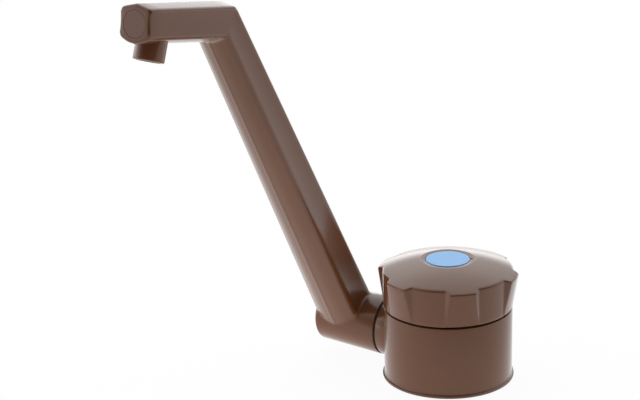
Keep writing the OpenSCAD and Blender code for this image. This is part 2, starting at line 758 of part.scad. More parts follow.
housing();
foot_gasket();
mounting_shank();
base_screws();
clamp_washer();
back_nut();
shank_grommet();
hose_tail();
tail_seal();
valve_body();
bonnet();
bonnet_seal();
spindle();
spindle_o_rings();
valve_plunger();
valve_washer();
washer_screw();
knob();
knob_screw();
knob_cap();
switch_cam();
switch_case();
switch_terminals();
switch_screws();
switch_lever();
switch_button();
swivel_journal();
journal_seal();
swivel_o_rings();
swivel_ring();
retaining_washer();
retaining_screw();
spout();
swivel_cap();
end_plug();
outlet_nozzle();
nozzle_seal();
flow_straightener();
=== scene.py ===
# Looks of the water tap: a lobed knob on a round base with a hollow folding spout.
# Sizes are in millimetres in the helpers and become metres when a mesh is made.
import json
import math
import bpy
import bmesh
from mathutils import Matrix, Vector


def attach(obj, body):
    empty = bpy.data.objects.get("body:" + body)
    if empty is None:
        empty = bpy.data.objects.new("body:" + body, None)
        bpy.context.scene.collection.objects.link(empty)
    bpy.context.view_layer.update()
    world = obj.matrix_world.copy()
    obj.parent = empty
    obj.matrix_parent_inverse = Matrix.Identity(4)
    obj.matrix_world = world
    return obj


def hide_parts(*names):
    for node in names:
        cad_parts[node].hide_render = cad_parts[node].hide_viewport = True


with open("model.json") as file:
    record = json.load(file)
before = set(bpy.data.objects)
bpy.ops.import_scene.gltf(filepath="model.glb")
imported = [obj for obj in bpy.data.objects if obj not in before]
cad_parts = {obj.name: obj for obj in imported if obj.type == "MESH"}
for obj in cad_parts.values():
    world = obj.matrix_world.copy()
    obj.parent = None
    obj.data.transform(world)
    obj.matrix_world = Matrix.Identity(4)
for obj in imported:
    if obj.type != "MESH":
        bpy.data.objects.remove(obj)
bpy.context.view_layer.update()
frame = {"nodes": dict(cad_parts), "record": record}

MM = 0.001

# Camera of the photograph, in millimetres and degrees
VIEW_AZIMUTH = 34.694
VIEW_ELEVATION = 18.169
VIEW_ROLL = -1.526
VIEW_DISTANCE = 754.68
VIEW_TARGET = Vector((-43.6, -30.2, 79.6))
VIEW_LENS = 102.1
SENSOR_WIDTH = 36.0

# Base and knob
FOOT_Z = 0.3
FOOT_R = 28.0
BASE_R = 27.3
LIP_H = 1.0
LIP_EDGE = 0.2
# Seam between lip and wall: steps outward and upward from the wall's foot
LIP_SEAM = ((0.15, 0.1), (-0.08, 0.4))
RIM_Z = 31.1
RIM_BORE_R = 26.1
SHELL_R = 24.8
DECK_Z = 25.6
DECK_TOP = 27.8
DECK_HOLE_R = 8.2
BOSS_R = 12.9
BOSS_X = 29.0
BOSS_BORE_R = 8.3
BOSS_ROOT_X = 23.8
BOSS_TURN = 1.3
# Hole through the wall behind the boss
BOSS_HOLE_R = 8.9
BOSS_HOLE_X = (20.0, 27.6)
SWIVEL_Z = 16.0
KNOB_Z = 31.9
KNOB_SKIRT_R = 27.3
KNOB_R = 27.6
LOBE_R = 29.9
FLARE_Z = 46.6
LOBE_COUNT = 6
LOBE_TURN = -47.1
LOBE_ROOT = 14.75
LOBE_TIP = 10.6
DOME_Z = 53.0
DOME_SPHERE_R = 74.3
RECESS_R = 9.5
RECESS_Z = 50.6
RECESS_LIP_R = 9.72
CLIP_BORE_R = 4.0
CLIP_R = 3.5
CLIP_DROP = 1.4
FLAT_R = 11.5
FLAT_Z = 52.0
NOTCH_TURN = 32.0
NOTCH_R = 10.6
NOTCH_W = 0.9
NOTCH_DEPTH = 0.7
NOTCH_BEVEL = 0.3
CAP_R = 9.34
CAP_TOP = 52.2
CAP_ROUND = 0.35
CAP_FLAT_R = 8.54
# Softening of the knob's outline where its flanks meet the lobes and the skirt
LOBE_SOFT = 0.7
ROOT_SOFT = 0.5
LEAST_LOBE = 0.01
# A ray that misses a flank, and the angle steps round a lobe: from, to, step
FLANK_FAR = 60.0
LOBE_ANGLES = ((8.5, 17.0, 0.25), (17.0, 23.0, 0.5))
WIDE_ANGLE = 1.0
DOME_STEPS = 20
EDGE_STEPS = 7
SKIRT_STEPS = 12
# Rounding of the dome's edge between the lobes, how much less it is on them, how far it
# reaches down, and the height above the flare where its radius is taken
DOME_ROUND = 0.95
LOBE_ROUND_LESS = 0.2
ROUND_REACH = 1.05
RIM_LIFT = 0.4
# Width of the step from the flat middle to the dome
FLAT_STEP = 0.12
# Inner outline of the knob shell: skirt spigot, roof, spline hub and screw seat
KNOB_INSIDE = ((25.6, KNOB_Z), (25.6, 29.7), (25.4, 29.5), (24.2, 29.5), (24.2, 46.0),
               (18.0, 47.8), (11.5, 48.6), (6.5, 48.0), (6.5, 33.4), (3.55, 33.4),
               (3.55, 46.5), (1.5, 46.5))
SCREW_SEAT = ((1.5, 48.0), (CLIP_BORE_R, 48.0), (CLIP_BORE_R, RECESS_Z))

# Under the worktop
GASKET_T = 2.0
PLATE_R = 24.6
PLATE_TOP = 4.5
POST_AT = 20.0
SCREW_HOLE_R = 1.25
SCREW_HEAD_R = 2.62
SCREW_CONE_Z = 3.35
SCREW_COUNT = 4
SHANK_CHAMFER = 0.8
BORE_CHAMFER = 0.2
SHANK_R = 16.0
SHANK_BORE_R = 13.0
SHANK_END = -40.0
THREAD_TOP = -1.0
THREAD_END = -33.0
THREAD_PITCH = 2.0
THREAD_DEPTH = 0.9
# Half the crest and one flank as shares of half the pitch, and rows of points in one pitch
THREAD_CREST = 0.25
THREAD_FLANK = 0.35
THREAD_ROWS = 10
NUT_FLATS = 40.0
NUT_SIDES = 6
NUT_TURN = 30.0
NUT_STEPS = 40
NUT_TOP = -21.5
NUT_H = 10.0
NUT_BORE_CHAMFER = 0.6
NUT_CORNER_ANGLE = 30.0
NUT_FACE_OUT = 0.4
NUT_EDGE = 0.15

# Spout
ARM_X = 50.0
ARM_LEN = 174.1
ARM_TILT = 60.0
BAR_TILT = 9.8
BAR_LEN = 47.79
# Sections: width, inner and outer half depth at the sides, inner and outer ridge
FOOT_SECTION = (21.25, 7.6, 7.45, 3.1, 2.4)
ELBOW_SECTION = (15.8, 6.1, 5.4, 2.45, 1.75)
BAR_SECTION = (14.3, 5.92, 5.17, 2.05, 1.66)
# Rounding of the section's corners, and bulge of its facets as a share of their width
# (negative where a facet is hollow), counted from the inner ridge over +X
CORNER_R = (3.4, 2.5, 1.5, 1.6, 2.2, 2.6)
CORNER_STEPS = 6
CROWN = (0.06, -0.032, 0.004, 0.004, -0.032, 0.06)
FACET_STEPS = 8
SEAM = 0.06
# Fillet between arm and barrel: radius, longest reach as a share of it, widest turn in
# radians, the zone at the barrel's free end with its reach there, and how far its foot lies
# under the wall. The arm's lines end inside the barrel at ARM_ROOT_R.
FILLET_R = 2.2
FILLET_REACH = 1.2
FILLET_WIDEST = 2.0
FILLET_END_ZONE = 3.5
FILLET_AT_END = 0.25
FILLET_SINK = 0.03
ARM_ROOT_R = 9.6
# Search for the point where a line meets the barrel's wall
SEARCH_STEPS = 30
SEARCH_SHARE = 0.9
FILLET_STEPS = 8
ARM_STEPS = 24
ELBOW_STEPS = 6
BAR_STEPS = 8
END_STEPS = 6
ELBOW_ROUND = 1.4
END_ROUND = 1.0
BARREL_X = (30.05, 61.4)
BARREL_R = (12.91, 11.84)
BARREL_ROUND = 1.8
BARREL_ROUND_ARC = 86.0
BARREL_EDGE = 0.35
BARREL_MOUTH = 0.15
SWIVEL_BORE_R = 8.0
COUNTERBORE_X = 57.0
COUNTERBORE_R = 9.6
PLUG_R = 5.21
PLUG_DROP = 0.6
PLUG_INSET = 0.1
PLUG_GAP = 0.02
PLUG_BEVEL = 0.12
PLUG_FLAT = 0.4
PLUG_T = 3.15
PLUG_SEAT_EDGE = 0.04
PLUG_SEAT = 1.2
# Nozzle: where its rim is along the bar and under it, and its lean from the vertical
NOZZLE_AT = 38.86
NOZZLE_DROP = 14.4
NOZZLE_LEAN = 20.5
NOZZLE_R = 5.9
NOZZLE_ROUND = 0.55
# Bore of the nozzle down to its mouth, and its wall and spigot up inside the bar
NOZZLE_BORE = ((4.4, 7.0), (4.4, 0.4), (4.8, 0.0))
NOZZLE_SPIGOT = ((NOZZLE_R, 8.5), (4.6, 8.5), (4.6, 11.5), (3.4, 11.5), (3.4, 7.0))
END_CAP_INSET = 0.12
END_CAP_T = 1.3
END_CAP_GAP = 0.03
END_CAP_BEVEL = 0.3
END_CAP_FLAT = 0.7

# Eased edges of rims, and the number of steps round each turned piece
EASE = 0.25
EASE_MID = 0.07
SMALL_STEPS = 96
DISC_STEPS = 128
SHANK_STEPS = 144
BARREL_STEPS = 160
HOUSING_STEPS = 192
HOLE_STEPS = 32
SMOOTH_ANGLE = 35.0
THREAD_SMOOTH_ANGLE = 60.0
# How far a cutting form goes past the faces that it cuts
PAST = 1.0
# Points closer than this are one: in millimetres in a helper, in metres in a mesh
SAME_POINT = 1e-5
JOIN = 2e-6


def smooth(mesh, angle):
    """Smooth shading with sharp edges where faces turn by more than the angle."""
    for poly in mesh.polygons:
        poly.use_smooth = True
    mesh.set_sharp_from_angle(angle=math.radians(angle))


def new_object(name, bm):
    """A mesh object at the origin from a bmesh in millimetres."""
    mesh = bpy.data.meshes.new(name)
    bmesh.ops.remove_doubles(bm, verts=bm.verts, dist=SAME_POINT)
    bmesh.ops.recalc_face_normals(bm, faces=bm.faces)
    bmesh.ops.scale(bm, vec=(MM, MM, MM), verts=bm.verts)
    bm.to_mesh(mesh)
    bm.free()
    smooth(mesh, SMOOTH_ANGLE)
    obj = bpy.data.objects.new(name, mesh)
    bpy.context.collection.objects.link(obj)
    return obj


def bridge(bm, rings, closed=False):
    """Faces between rings of vertices that have the same number of points."""
    pairs = list(zip(rings, rings[1:]))
    if closed:
        pairs.append((rings[-1], rings[0]))
    for a, b in pairs:
        n = len(a)
        for i in range(n):
            quad = (a[i], a[(i + 1) % n], b[(i + 1) % n], b[i])
            if len(set(quad)) > 2:
                bm.faces.new([v for k, v in enumerate(quad) if v not in quad[:k]])


def ring_verts(bm, points):
    """New vertices at the points of a ring."""
    return [bm.verts.new(p) for p in points]


def arc(cx, cy, r, a0, a1, steps):
    """Points of an arc in a profile, from angle a0 to a1 in degrees."""
    return [(cx + r * math.cos(math.radians(a0 + (a1 - a0) * k / steps)),
             cy + r * math.sin(math.radians(a0 + (a1 - a0) * k / steps)))
            for k in range(steps + 1)]


def eased(r, z, out=-1, up=-1):
    """Corner of a profile with its edge eased, from the wall to the face."""
    return [(r, z + up * EASE), (r + out * EASE_MID, z + up * EASE_MID), (r + out * EASE, z)]


def disc_top(r, top, bevel, flat_r, steps):
    """Profile of a flat face with a rounded edge. The point at flat_r keeps the face flat."""
    return [(0, top), (flat_r, top)] + arc(r - bevel, top - bevel, bevel, 90, 0, steps)


def lathe(bm, profile, steps=DISC_STEPS, place=Matrix.Identity(4), closed=True):
    """Turns a profile of (radius, height) points about local Z."""
    angles = [2 * math.pi * k / steps for k in range(steps)]
    rings = []
    for r, z in profile:
        if r == 0:
            rings.append(ring_verts(bm, [place @ Vector((0, 0, z))]) * steps)
        else:
            rings.append(ring_verts(bm, [place @ Vector((r * math.cos(a), r * math.sin(a), z))
                                         for a in angles]))
    bridge(bm, rings, closed)


def turned(origin, lean):
    """A frame at an origin, leant about X by an angle in degrees."""
    return Matrix.Translation(origin) @ Matrix.Rotation(math.radians(lean), 4, "X")


# Frames: local +Z runs out along the swivel's axis, along the arm or the bar, or up the
# nozzle. In the arm and the bar, local -Y is the inner side.
SWIVEL = Matrix.Translation((0, 0, SWIVEL_Z)) @ Matrix.Rotation(math.radians(-90), 4, "Y")
ELBOW = Vector((-ARM_X, -ARM_LEN * math.cos(math.radians(ARM_TILT)),
                SWIVEL_Z + ARM_LEN * math.sin(math.radians(ARM_TILT))))
AT_FOOT = turned(Vector((-ARM_X, 0, SWIVEL_Z)), 90 - ARM_TILT)
AT_BAR = turned(ELBOW, 90 - BAR_TILT)
AT_MITRE = turned(ELBOW, 90 - (ARM_TILT + BAR_TILT) / 2)
AT_NOZZLE = AT_BAR @ turned(Vector((0, -NOZZLE_DROP, NOZZLE_AT)), BAR_TILT - 90 - NOZZLE_LEAN)


def rounded_section(size):
    """Six-sided section with round corners and bulging facets.

    Gives (point, normal) pairs, the same number for every size."""
    w, inner, outer, front, back = size
    corners = [Vector(p) for p in ((0, -inner - front), (w / 2, -inner), (w / 2, outer),
               (0, outer + back), (-w / 2, outer), (-w / 2, -inner))]
    arcs = []
    for k, b in enumerate(corners):
        u = (corners[k - 1] - b).normalized()
        v = (corners[(k + 1) % 6] - b).normalized()
        half = u.angle(v) / 2
        centre = b + (u + v).normalized() * CORNER_R[k] / math.sin(half)
        start = b + u * CORNER_R[k] / math.tan(half) - centre
        turn = math.atan2(start.y, start.x)
        angles = [turn + (math.pi - 2 * half) * i / CORNER_STEPS for i in range(CORNER_STEPS + 1)]
        normals = [Vector((math.cos(t), math.sin(t))) for t in angles]
        arcs.append([(centre + n * CORNER_R[k], n) for n in normals])
    # The mould's parting line runs along the inner ridge
    ridge = arcs[0][CORNER_STEPS // 2]
    arcs[0][CORNER_STEPS // 2] = (ridge[0] + ridge[1] * SEAM, ridge[1])
    points = []
    for k, arc_points in enumerate(arcs):
        points += arc_points
        (p, n), (q, _) = arc_points[-1], arcs[(k + 1) % 6][0]
        across = (q - p).normalized()
        bulge = 4 * CROWN[k]
        for i in range(1, FACET_STEPS):
            t = i / FACET_STEPS
            points.append((p.lerp(q, t) + n * bulge * (q - p).length * t * (1 - t),
                           (n - across * bulge * (1 - 2 * t)).normalized()))
    return points


def barrel_radius(x):
    """Radius of the barrel's wall at distance x from the base axis."""
    taper_end = BARREL_X[1] - BARREL_ROUND
    f = min(max((x - BARREL_X[0]) / (taper_end - BARREL_X[0]), 0), 1)
    r = BARREL_R[0] + (BARREL_R[1] - BARREL_R[0]) * f
    if x > taper_end:
        past = min(x - taper_end, BARREL_ROUND)
        r += math.sqrt(BARREL_ROUND ** 2 - past ** 2) - BARREL_ROUND
    return r


def bezier(a, b, c, t):
    """Point on the curve that leaves a and reaches c, drawn towards b."""
    return a * (1 - t) ** 2 + b * 2 * t * (1 - t) + c * t * t


def on_barrel(start, along):
    """Where a line of the arm leaves the barrel's wall."""
    reach = 0.0
    for _ in range(SEARCH_STEPS):
        q = start + along * reach
        reach += (barrel_radius(-q.x) - math.hypot(q.y, q.z - SWIVEL_Z)) * SEARCH_SHARE
    return start + along * reach


def fillet_line(start, along, side):
    """Points of the fillet from inside the barrel out to the arm, on one line of the arm."""
    corner = on_barrel(start, along)
    radial = Vector((0, corner.y, corner.z - SWIVEL_Z)).normalized()
    turn = math.acos(max(-1, min(1, side.dot(radial))))
    reach = FILLET_R * min(math.tan(min(turn, FILLET_WIDEST) / 2), FILLET_REACH)
    if -corner.x > BARREL_X[1] - FILLET_END_ZONE:
        reach = min(reach, FILLET_AT_END)
    low = corner + (side - radial * side.dot(radial)).normalized() * reach
    axis_point = Vector((low.x, 0, SWIVEL_Z))
    low = axis_point + (low - axis_point).normalized() * (barrel_radius(-low.x) - FILLET_SINK)
    high = corner + along * reach
    outward = Vector((0, low.y, low.z - SWIVEL_Z)).normalized()
    root = Vector((corner.x, 0, SWIVEL_Z)) + outward * ARM_ROOT_R
    return [root, low] + [bezier(low, corner, high, k / FILLET_STEPS)
                          for k in range(1, FILLET_STEPS + 1)]


def arm_line(foot, mitre, end, side):
    """One line of the spout, from inside the barrel over the elbow to the bar's end face."""
    a, m = AT_FOOT @ foot, AT_MITRE @ mitre
    e = AT_BAR @ Vector((end.x, end.y, BAR_LEN))
    line = fillet_line(a, (m - a).normalized(), side)
    high = line[-1]
    before = m + (a - m).normalized() * ELBOW_ROUND
    after = m + (e - m).normalized() * ELBOW_ROUND
    edge = e + (m - e).normalized() * END_ROUND
    line += [high.lerp(before, k / ARM_STEPS) for k in range(1, ARM_STEPS + 1)]
    line += [bezier(before, m, after, k / ELBOW_STEPS) for k in range(1, ELBOW_STEPS + 1)]
    line += [after.lerp(edge, k / BAR_STEPS) for k in range(1, BAR_STEPS + 1)]
    for k in range(1, END_STEPS + 1):
        angle = math.radians(90 * k / END_STEPS)
        shrink = 1 - 2 * END_ROUND * (1 - math.cos(angle)) / BAR_SECTION[0]
        line.append(AT_BAR @ Vector((end.x * shrink, end.y * shrink,
                                     BAR_LEN - END_ROUND + END_ROUND * math.sin(angle))))
    return line


def fan(bm, ring, middle, flip=False):
    """Closes a ring with a fan of triangles round a middle point."""
    hub = bm.verts.new(middle)
    for a, b in zip(ring, ring[1:] + ring[:1]):
        bm.faces.new((b, a, hub) if flip else (a, b, hub))


def make_spout():
    """Barrel, arm and outlet bar as one moulding with filleted joints and round edges."""
    end = rounded_section(BAR_SECTION)
    stretch = 1 / math.cos(math.radians(ARM_TILT - BAR_TILT) / 2)
    lines = []
    for (pf, nf), (pm, _), (pe, _) in zip(rounded_section(FOOT_SECTION),
                                          rounded_section(ELBOW_SECTION), end):
        side = (AT_FOOT.to_3x3() @ Vector((nf.x, nf.y, 0))).normalized()
        lines.append(arm_line(Vector((pf.x, pf.y, 0)), Vector((pm.x, pm.y * stretch, 0)),
                              pe, side))
    bm = bmesh.new()
    rings = [ring_verts(bm, [line[k] for line in lines]) for k in range(len(lines[0]))]
    # End face with the seat of the plug
    inset = 1 - 2 * END_ROUND / BAR_SECTION[0]
    for r, depth in ((PLUG_R + PLUG_SEAT_EDGE, 0), (PLUG_R, PLUG_SEAT_EDGE),
                     (PLUG_R, PLUG_SEAT)):
        circle = []
        for pe, _ in end:
            a = math.atan2(pe.y * inset + PLUG_DROP, pe.x * inset)
            circle.append(AT_BAR @ Vector((r * math.cos(a), r * math.sin(a) - PLUG_DROP,
                                           BAR_LEN - depth)))
        rings.append(ring_verts(bm, circle))
    bridge(bm, rings)
    fan(bm, rings[-1], AT_BAR @ Vector((0, -PLUG_DROP, BAR_LEN - PLUG_SEAT)))
    fan(bm, rings[0], sum((v.co for v in rings[0]), Vector()) / len(rings[0]), flip=True)
    arm = new_object("arm_form", bm)
    bm = bmesh.new()
    near_x, end_x = BARREL_X
    profile = [(SWIVEL_BORE_R, near_x)]
    profile += arc(BARREL_R[0] - BARREL_EDGE, near_x + BARREL_EDGE, BARREL_EDGE, -90, 0, 4)
    profile += arc(BARREL_R[1] - BARREL_ROUND, end_x - BARREL_ROUND, BARREL_ROUND,
                   0, BARREL_ROUND_ARC, 10)
    profile += [(COUNTERBORE_R + BARREL_MOUTH, end_x), (COUNTERBORE_R, end_x - BARREL_MOUTH),
                (COUNTERBORE_R, COUNTERBORE_X), (SWIVEL_BORE_R, COUNTERBORE_X)]
    lathe(bm, profile, BARREL_STEPS, SWIVEL)
    return combined(new_object("spout_shell", bm), [("UNION", arm)])


def baked(obj, helpers=(), smooth_angle=SMOOTH_ANGLE):
    """Applies the modifiers of a piece, merges doubles and deletes the helper objects."""
    graph = bpy.context.evaluated_depsgraph_get()
    mesh = bpy.data.meshes.new_from_object(obj.evaluated_get(graph))
    obj.modifiers.clear()
    obj.data = mesh
    bm = bmesh.new()
    bm.from_mesh(mesh)
    bmesh.ops.remove_doubles(bm, verts=bm.verts, dist=JOIN)
    bmesh.ops.dissolve_degenerate(bm, edges=bm.edges, dist=JOIN)
    bmesh.ops.recalc_face_normals(bm, faces=bm.faces)
    bm.to_mesh(mesh)
    bm.free()
    smooth(mesh, smooth_angle)
    for helper in helpers:
        bpy.data.objects.remove(helper)
    return obj


def combined(obj, helpers, smooth_angle=SMOOTH_ANGLE):
    """Cuts or joins other objects with a piece, in the order given."""
    for operation, helper in helpers:
        step = obj.modifiers.new(helper.name, "BOOLEAN")
        step.operation = operation
        step.solver = "EXACT"
        step.object = helper
    return baked(obj, [helper for _, helper in helpers], smooth_angle)


# Geometry Nodes: the knob and the back nut are rings of equal sectors, and the shank has a
# thread that follows a helix
def new_tree(name, inputs):
    """A tree with a mesh and named values going in, and a mesh coming out."""
    tree = bpy.data.node_groups.new(name, "GeometryNodeTree")
    tree.interface.new_socket("Mesh", in_out="INPUT", socket_type="NodeSocketGeometry")
    for label, kind in inputs:
        tree.interface.new_socket(label, in_out="INPUT", socket_type="NodeSocket" + kind)
    tree.interface.new_socket("Mesh", in_out="OUTPUT", socket_type="NodeSocketGeometry")
    return tree, tree.nodes.new("NodeGroupInput").outputs


def node_of(tree, kind, links, **settings):
    """A node with its settings, and its sockets filled from values or other sockets."""
    node = tree.nodes.new(kind)
    for key, value in settings.items():
        setattr(node, key, value)
    for key, value in links.items():
        if isinstance(value, bpy.types.NodeSocket):
            tree.links.new(value, node.inputs[key])
        else:
            node.inputs[key].default_value = value
    return node.outputs


def calc(tree, operation, *values, clamp=False):
    """A sum on values or sockets of a tree."""
    node = node_of(tree, "ShaderNodeMath", dict(enumerate(values)), operation=operation)
    node[0].node.use_clamp = clamp
    return node[0]


def finish_tree(tree, mesh, sizes):
    """Joins the seams of a tree's result, realizes it and gives it its finish."""
    real = node_of(tree, "GeometryNodeRealizeInstances", {"Geometry": mesh})["Geometry"]
    joined = node_of(tree, "GeometryNodeMergeByDistance",
                     {"Geometry": real, "Distance": sizes["Join distance"]})["Geometry"]
    real = node_of(tree, "GeometryNodeRealizeInstances", {"Geometry": joined})["Geometry"]
    finished = node_of(tree, "GeometryNodeSetMaterial",
                       {"Geometry": real, "Material": sizes["Finish"]})["Geometry"]
    tree.links.new(finished, tree.nodes.new("NodeGroupOutput").inputs["Mesh"])
    return tree


def sector_ring_tree():
    """Turns copies of one sector round the axis and joins them into a closed ring."""
    tree, sizes = new_tree("sector_ring", (("Copies", "Int"), ("First angle", "Float"),
                           ("Join distance", "Float"), ("Finish", "Material")))
    places = node_of(tree, "GeometryNodeMeshLine",
                     {"Count": sizes["Copies"], "Offset": (0, 0, 0)})["Mesh"]
    index = node_of(tree, "GeometryNodeInputIndex", {})["Index"]
    step = calc(tree, "DIVIDE", 2 * math.pi, sizes["Copies"])
    angle = calc(tree, "ADD", calc(tree, "MULTIPLY", index, step), sizes["First angle"])
    spin = node_of(tree, "ShaderNodeCombineXYZ", {"Z": angle})["Vector"]
    copies = node_of(tree, "GeometryNodeInstanceOnPoints",
                     {"Points": places, "Instance": sizes["Mesh"], "Rotation": spin})["Instances"]
    return finish_tree(tree, copies, sizes)


def thread_tree():
    """Presses a helical groove into the outer wall of a turned blank."""
    tree, sizes = new_tree("helical_thread", (("Crest radius", "Float"), ("Depth", "Float"),
                           ("Pitch", "Float"), ("Top", "Float"), ("Bottom", "Float"),
                           ("Crest share", "Float"), ("Flank slope", "Float"),
                           ("Join distance", "Float"), ("Finish", "Material")))
    place = node_of(tree, "GeometryNodeInputPosition", {})["Position"]
    xyz = node_of(tree, "ShaderNodeSeparateXYZ", {"Vector": place})
    turns = calc(tree, "DIVIDE", calc(tree, "ARCTAN2", xyz["Y"], xyz["X"]), 2 * math.pi)
    phase = calc(tree, "FRACT", calc(tree, "SUBTRACT",
                 calc(tree, "DIVIDE", xyz["Z"], sizes["Pitch"]), turns))
    # 0 on the crest's middle and 1 on the groove's middle, then a flat crest and floor
    swing = calc(tree, "ABSOLUTE", calc(tree, "SUBTRACT", calc(tree, "MULTIPLY", phase, 2.0), 1.0))
    groove = calc(tree, "MULTIPLY", calc(tree, "SUBTRACT", swing, sizes["Crest share"]),
                  sizes["Flank slope"], clamp=True)
    above = calc(tree, "DIVIDE", calc(tree, "SUBTRACT", sizes["Top"], xyz["Z"]),
                 sizes["Pitch"], clamp=True)
    below = calc(tree, "DIVIDE", calc(tree, "SUBTRACT", xyz["Z"], sizes["Bottom"]),
                 sizes["Pitch"], clamp=True)
    fade = calc(tree, "MULTIPLY", above, below)
    depth = calc(tree, "MULTIPLY", calc(tree, "MULTIPLY", groove, fade), sizes["Depth"])
    out = node_of(tree, "ShaderNodeCombineXYZ", {"X": xyz["X"], "Y": xyz["Y"]})["Vector"]
    radius = node_of(tree, "ShaderNodeVectorMath", {0: out}, operation="LENGTH")["Value"]
    outer = calc(tree, "GREATER_THAN", radius, calc(tree, "SUBTRACT", sizes["Crest radius"],
                                                    sizes["Depth"]))
    shift = calc(tree, "MULTIPLY", calc(tree, "DIVIDE", depth, radius), -1.0)
    offset = node_of(tree, "ShaderNodeVectorMath", {0: out, "Scale": shift},
                     operation="SCALE")["Vector"]
    pressed = node_of(tree, "GeometryNodeSetPosition",
                      {"Geometry": sizes["Mesh"], "Selection": outer, "Offset": offset})["Geometry"]
    return finish_tree(tree, pressed, sizes)


def grown(obj, tree, values, smooth_angle=SMOOTH_ANGLE):
    """Runs a tree on a piece with its named inputs set, and keeps the plain mesh."""
    modifier = obj.modifiers.new(tree.name, "NODES")
    modifier.node_group = tree
    for socket in tree.interface.items_tree:
        if socket.in_out == "INPUT" and socket.name in values:
            modifier[socket.identifier] = values[socket.name]
    return baked(obj, smooth_angle=smooth_angle)


def dome(r):
    """Height of the dome at a distance from the knob's axis."""
    return DOME_Z - r * r / (2 * DOME_SPHERE_R)


def soft_max(a, b, k):
    """The larger of two values, blended over k where they are close."""
    h = max(k - abs(a - b), 0) / k
    return max(a, b) + h * h * k / 4


def soft_min(a, b, k):
    """The smaller of two values, blended over k where they are close."""
    return -soft_max(-a, -b, k)


def polar(r, degrees):
    """Point in the plane at a radius and an angle."""
    return Vector((math.cos(math.radians(degrees)), math.sin(math.radians(degrees)))) * r


def knob_radius(angle, z):
    """Outline of the knob at a height, with softened corners at the lobes."""
    f = (z - KNOB_Z) / (FLARE_Z - KNOB_Z)
    inner = KNOB_SKIRT_R + (KNOB_R - KNOB_SKIRT_R) * f
    outer = KNOB_SKIRT_R + (LOBE_R - KNOB_SKIRT_R) * f
    if outer <= inner + LEAST_LOBE:
        return inner
    step = 360 / LOBE_COUNT
    # Distance along the ray at this angle to the line of the lobe's flank
    root, tip = polar(KNOB_R, LOBE_ROOT), polar(LOBE_R, LOBE_TIP)
    ray = polar(1, abs((angle + step / 2) % step - step / 2))
    d = tip - root
    cross = ray.x * d.y - ray.y * d.x
    flank = (root.x * d.y - root.y * d.x) / cross if abs(cross) > 1e-9 else FLANK_FAR
    if not 0 <= flank <= FLANK_FAR:
        flank = FLANK_FAR
    return soft_max(inner, soft_min(outer, flank, LOBE_SOFT), ROOT_SOFT)


def sector_angles():
    """Angles across one lobe's sector, closer together at its flanks."""
    half = [0.0]
    edge = 180 / LOBE_COUNT
    while half[-1] < edge - 1e-6:
        a = half[-1]
        step = next((width for first, last, width in LOBE_ANGLES if first <= a < last),
                    WIDE_ANGLE)
        half.append(min(a + step, edge))
    return [-a for a in reversed(half[1:])] + half


def knob_profile(angle):
    """Closed outline of the knob shell at an angle from the middle of a lobe."""
    rim = knob_radius(angle, FLARE_Z + RIM_LIFT)
    edge_round = DOME_ROUND - LOBE_ROUND_LESS * (rim - KNOB_R) / (LOBE_R - KNOB_R)
    points = list(SCREW_SEAT) + [(RECESS_R, RECESS_Z)] + eased(RECESS_R, FLAT_Z, out=1)[:2]
    start, edge = FLAT_R + FLAT_STEP, rim - edge_round
    points += [(RECESS_LIP_R, FLAT_Z), (FLAT_R, FLAT_Z), (start, dome(FLAT_R))]
    for k in range(1, DOME_STEPS + 1):
        r = start + (edge - start) * k / DOME_STEPS
        points.append((r, dome(r)))
    top = Vector((edge, dome(edge)))
    low_z = dome(rim) - edge_round * ROUND_REACH
    low = Vector((knob_radius(angle, low_z), low_z))
    corner = Vector((knob_radius(angle, dome(rim)), dome(rim)))
    points += [tuple(bezier(top, corner, low, k / EDGE_STEPS)) for k in range(1, EDGE_STEPS + 1)]
    for k in range(1, SKIRT_STEPS + 1):
        z = low_z + (KNOB_Z + EASE - low_z) * k / SKIRT_STEPS
        points.append((knob_radius(angle, z), z))
    return points + eased(KNOB_SKIRT_R, KNOB_Z, up=1)[1:] + list(KNOB_INSIDE)


def sector(bm, angles, profile):
    """Open wedge of a ring: one closed profile at each angle, in degrees."""
    columns = []
    for angle in angles:
        c, s = math.cos(math.radians(angle)), math.sin(math.radians(angle))
        columns.append(ring_verts(bm, [(r * c, r * s, z) for r, z in profile(angle)]))
    for a, b in zip(columns, columns[1:]):
        for k in range(len(a)):
            j = (k + 1) % len(a)
            bm.faces.new((a[k], b[k], b[j], a[j]))


def make_knob():
    """Knob shell: one lobe's sector, repeated round the axis, with the notch by the disc."""
    bm = bmesh.new()
    sector(bm, sector_angles(), knob_profile)
    knob = grown(new_object("knob_shell", bm), RING_TREE, {
        "Copies": LOBE_COUNT, "First angle": math.radians(LOBE_TURN), "Join distance": JOIN,
        "Finish": MATERIALS["shell"]})
    bm = bmesh.new()
    bmesh.ops.create_cube(bm, size=1)
    size = Vector((NOTCH_R - RECESS_R + PAST, NOTCH_W, 2 * NOTCH_DEPTH))
    bmesh.ops.scale(bm, vec=size, verts=bm.verts)
    bmesh.ops.bevel(bm, geom=bm.edges, offset=NOTCH_BEVEL, segments=4, profile=0.5,
                    affect="EDGES")
    middle = Matrix.Translation((NOTCH_R - size.x / 2, 0, FLAT_Z))
    bmesh.ops.transform(bm, matrix=Matrix.Rotation(math.radians(NOTCH_TURN), 4, "Z") @ middle,
                        verts=bm.verts)
    return combined(knob, [("DIFFERENCE", new_object("notch_form", bm))])


def make_cap():
    """Blue disc with a rounded edge and a clip ring."""
    bm = bmesh.new()
    clip_z = RECESS_Z - CLIP_DROP
    profile = disc_top(CAP_R, CAP_TOP, CAP_ROUND, CAP_FLAT_R, 5)
    profile += [(CAP_R, RECESS_Z), (CLIP_BORE_R, RECESS_Z), (CLIP_BORE_R, clip_z),
                (CLIP_R, clip_z), (CLIP_R, RECESS_Z), (0, RECESS_Z)]
    lathe(bm, profile, closed=False)
    return new_object("cap_disc", bm)


